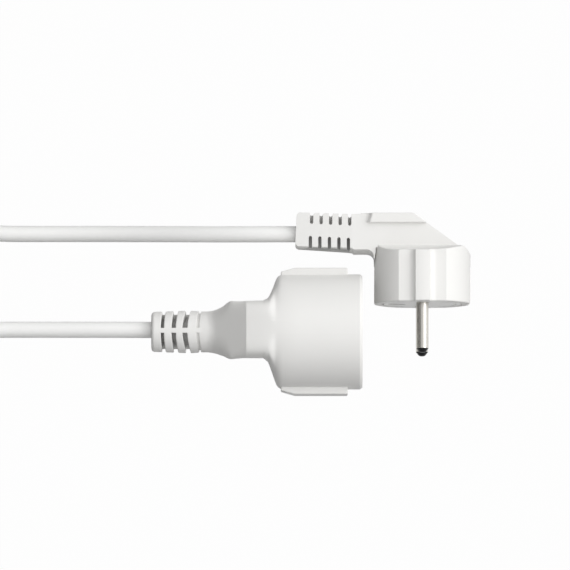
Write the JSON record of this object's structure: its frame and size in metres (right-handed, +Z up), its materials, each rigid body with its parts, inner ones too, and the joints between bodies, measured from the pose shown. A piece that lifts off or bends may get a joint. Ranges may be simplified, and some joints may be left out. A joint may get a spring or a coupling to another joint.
{
  "type": "extension cord",
  "caption": "Moulded extension cord with an angled earthed plug, a round inline socket with a shuttered recess, and a sheathed cord coiled and tied between them.",
  "frame": {"origin": "on the surface the cord lies on, under the middle of the box round plug and coupling; the cord and its coil are not counted", "axes": "+X along the coupling from its cord end to its mouth, +Y from the plug's pins to its back, +Z up"},
  "size_m": [0.2886, 0.0905, 0.0453],
  "materials": {
    "white_plastic": "moulded, satin",
    "white_hard_plastic": "moulded, smooth",
    "white_sheath": "extruded, satin",
    "nickel": "plated, bright",
    "brass": "bare, satin",
    "spring_steel": "drawn wire",
    "black_plastic": "moulded, smooth",
    "brown_core": "extruded",
    "blue_core": "extruded",
    "earth_core": "extruded, green and yellow",
    "black_tie": "woven band"
  },
  "bodies": {
    "case": {"coupling_body": "white_plastic", "coupling_insert": "white_hard_plastic", "recess_lining": "white_hard_plastic", "contact_carrier": "white_hard_plastic", "live_contact": "brass", "neutral_contact": "brass", "earth_bow": "nickel", "shutter_pin": "spring_steel", "shutter_spring": "spring_steel", "coupling_wire_brown": "brown_core", "coupling_wire_blue": "blue_core", "coupling_wire_earth": "earth_core", "coupling_cable_stub": "white_sheath", "cord_coupling_stretch": "white_sheath", "cord_coil": "white_sheath", "cord_plug_stretch": "white_sheath", "coil_tie_left": "black_tie", "coil_tie_right": "black_tie", "plug_body": "white_plastic", "pin_bridge": "white_hard_plastic", "live_pin": "nickel", "neutral_pin": "nickel", "live_pin_tip": "black_plastic", "neutral_pin_tip": "black_plastic", "plug_earth_clip": "nickel", "earth_pin_socket": "nickel", "plug_wire_brown": "brown_core", "plug_wire_blue": "blue_core", "plug_wire_earth": "earth_core", "plug_cable_stub": "white_sheath"},
    "shutter": {"shutter_rotor": "white_hard_plastic"}
  },
  "joints": [
    {"name": "shutter_turn", "type": "hinge", "parent": "case", "child": "shutter", "pos_m": [-0.0004, -0.01098, 0.02264], "axis": [1, 0, 0], "range_deg": [0, 42], "stiffness_Nm_per_rad": 0.0005}
  ]
}
